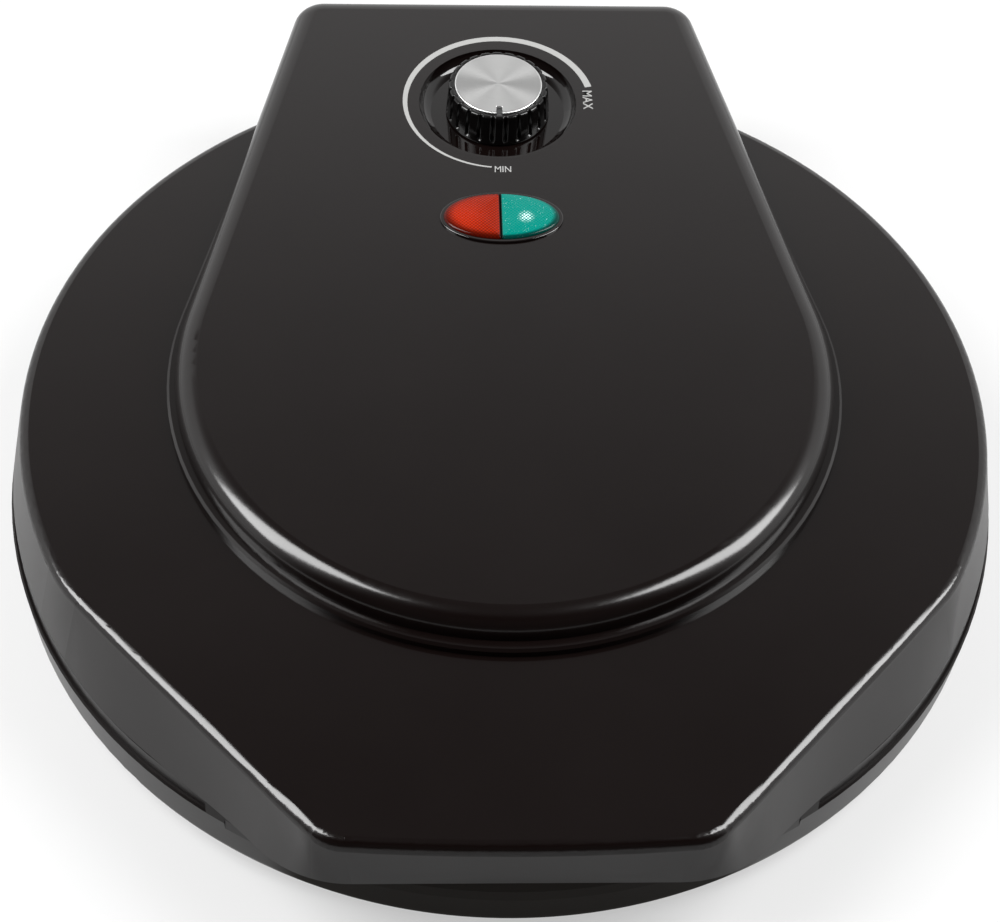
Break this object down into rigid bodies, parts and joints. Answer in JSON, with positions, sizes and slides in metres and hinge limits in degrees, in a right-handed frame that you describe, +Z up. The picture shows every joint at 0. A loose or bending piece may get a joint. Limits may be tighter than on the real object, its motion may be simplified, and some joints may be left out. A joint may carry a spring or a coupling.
{
  "type": "pizza maker",
  "caption": "Round electric pizza maker with a hinged lid, non-stick plates, and a raised control cover that holds the thermostat knob and an oval red and green pilot lamp.",
  "frame": {"origin": "on the table, under the middle of the whole object's box", "axes": "+Z up, +X to the right as seen from the front, -Y towards the user; the hinge is at the rear, towards +Y"},
  "size_m": [0.3429, 0.3723, 0.0856],
  "materials": {
    "shell_black": "satin",
    "foot_rubber": "matt",
    "plate_coat": "non-stick coating",
    "element_steel": "oxidised",
    "shield_steel": "aluminised",
    "screw_steel": "zinc plated",
    "block_ceramic": "unglazed",
    "lead_sleeve": "glass fibre sleeve",
    "lid_black": "gloss",
    "cover_black": "gloss",
    "bezel_black": "gloss",
    "lens_red": "translucent",
    "lens_green": "translucent",
    "neon_glass": "clear",
    "thermostat_body": "unglazed",
    "fuse_brass": "plain",
    "knob_black": "satin",
    "knob_metal": "spun"
  },
  "bodies": {
    "base": {"base_shell": "shell_black", "feet": "foot_rubber", "lower_plate": "plate_coat", "lower_element": "element_steel", "lower_shield": "shield_steel", "lower_plate_screws": "screw_steel", "lower_shield_screws": "screw_steel", "terminal_block": "block_ceramic", "cord_grommet": "foot_rubber", "base_leads": "lead_sleeve"},
    "lid": {"lid_shell": "lid_black", "control_cover": "cover_black", "upper_plate": "plate_coat", "upper_element": "element_steel", "upper_shield": "shield_steel", "upper_plate_screws": "screw_steel", "upper_shield_screws": "screw_steel", "cover_screws": "screw_steel", "hinge_pins": "screw_steel", "lamp_bezel": "bezel_black", "lens_red": "lens_red", "lens_green": "lens_green", "neon_lamps": "neon_glass", "thermostat": "thermostat_body", "thermostat_screws": "screw_steel", "thermal_fuse": "fuse_brass", "fuse_clip": "screw_steel", "clip_screw": "screw_steel", "lid_leads": "lead_sleeve"},
    "knob": {"knob_body": "knob_black", "knob_cap": "knob_metal", "thermostat_shaft": "fuse_brass"}
  },
  "joints": [
    {"name": "lid_hinge", "type": "hinge", "parent": "base", "child": "lid", "pos_m": [0, 0.17305, 0.042], "axis": [-1, 0, 0], "range_deg": [0, 105]},
    {"name": "knob_turn", "type": "hinge", "parent": "lid", "child": "knob", "pos_m": [0, 0.12615, 0.08], "axis": [0, 0, -1], "range_deg": [0, 252]}
  ]
}
